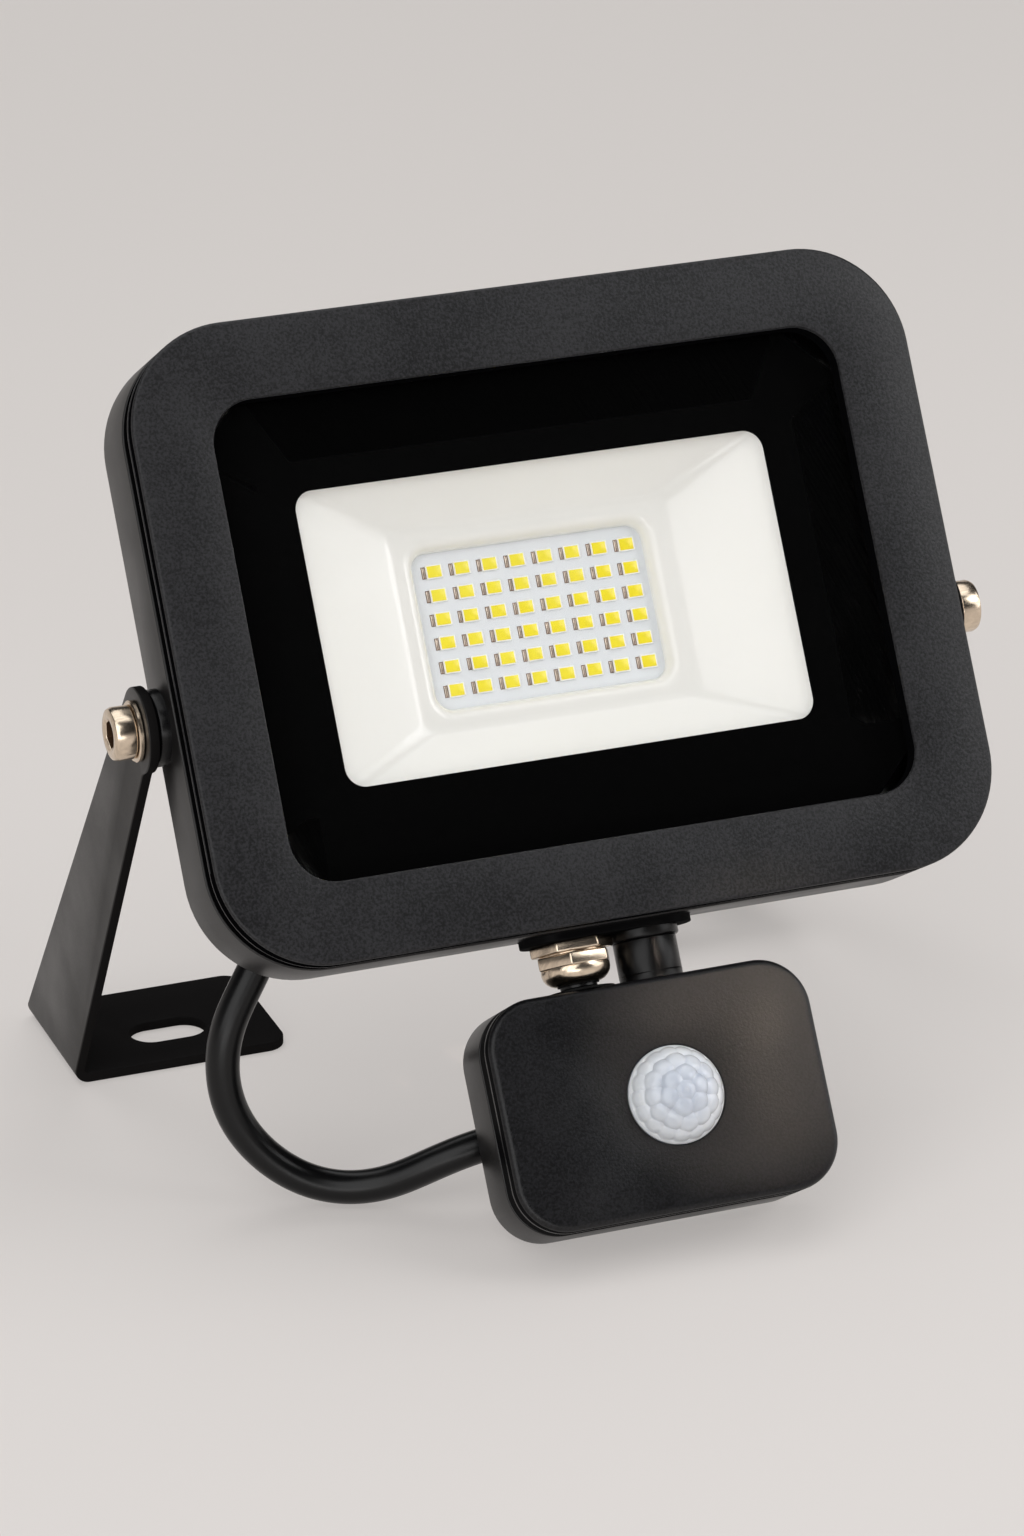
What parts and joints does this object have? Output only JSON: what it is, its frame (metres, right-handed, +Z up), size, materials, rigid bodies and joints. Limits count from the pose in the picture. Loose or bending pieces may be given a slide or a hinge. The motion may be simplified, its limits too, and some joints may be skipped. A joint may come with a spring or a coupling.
{
  "type": "led floodlight with motion sensor",
  "caption": "Black LED floodlight with a glazed rectangular head on two pivoting bracket legs, and a small tilting motion sensor with a white domed lens below it on a short post.",
  "frame": {"origin": "Middle of the footprint's bounding box, cord left out, on the surface the lamp stands on.", "axes": "+X to the lamp's right as seen from its front, +Y to the back away from the lit face, +Z up."},
  "size_m": [0.2144, 0.1954, 0.201],
  "materials": {
    "casing": "fine powder coat, satin",
    "leg_paint": "fine powder coat, satin",
    "bright_metal": "nickel plate, lightly worn",
    "black_gloss": "smooth gloss",
    "black_plastic": "fine grain",
    "seal_rubber": "soft, matt",
    "cord_rubber": "smooth, satin",
    "clear_glass": "clear, toughened",
    "black_print": "soft, matt",
    "white_tray": "smooth white, slightly warm",
    "board_white": "white coated board",
    "led_body": "white moulded body",
    "led_phosphor": "yellow phosphor gel",
    "board_green": "green coated board",
    "lens_white": "milky translucent lens"
  },
  "bodies": {
    "lamp": {"rear_housing": "casing", "front_bezel": "casing", "bezel_gasket": "seal_rubber", "glass": "clear_glass", "glass_mask": "black_print", "reflector": "white_tray", "led_board": "board_white", "led_packages": "led_body", "led_phosphors": "led_phosphor", "driver_board": "board_green", "driver_lid": "casing", "lid_screws": "bright_metal", "case_screws": "bright_metal", "pivot_screws": "bright_metal", "pivot_washers": "bright_metal", "gland_body": "bright_metal", "gland_cap": "bright_metal", "gland_seal": "seal_rubber", "link_cable": "cord_rubber", "post_collar": "black_gloss", "sensor_post": "black_gloss", "inlet_gland": "black_plastic", "supply_cord": "cord_rubber"},
    "left_leg": {"left_leg": "leg_paint"},
    "right_leg": {"right_leg": "leg_paint"},
    "sensor": {"sensor_front_cover": "black_plastic", "sensor_rear_shell": "black_plastic", "sensor_screws": "bright_metal", "lens_dome": "lens_white", "sensor_board": "board_green", "pir_element": "bright_metal", "tilt_pin": "bright_metal", "link_grommet": "seal_rubber", "cord_bush": "seal_rubber"}
  },
  "joints": [
    {"name": "left_leg_swing", "type": "hinge", "parent": "lamp", "child": "left_leg", "pos_m": [0, -0.018, 0.117], "axis": [1, 0, 0], "range_deg": [-60, 110]},
    {"name": "right_leg_swing", "type": "hinge", "parent": "lamp", "child": "right_leg", "pos_m": [0, -0.018, 0.117], "axis": [1, 0, 0], "range_deg": [-70, 100]},
    {"name": "sensor_tilt", "type": "hinge", "parent": "lamp", "child": "sensor", "pos_m": [0.0088, -0.06276, 0.04887], "axis": [0.9989, -0.04, 0.0249], "range_deg": [-10, 8]}
  ]
}
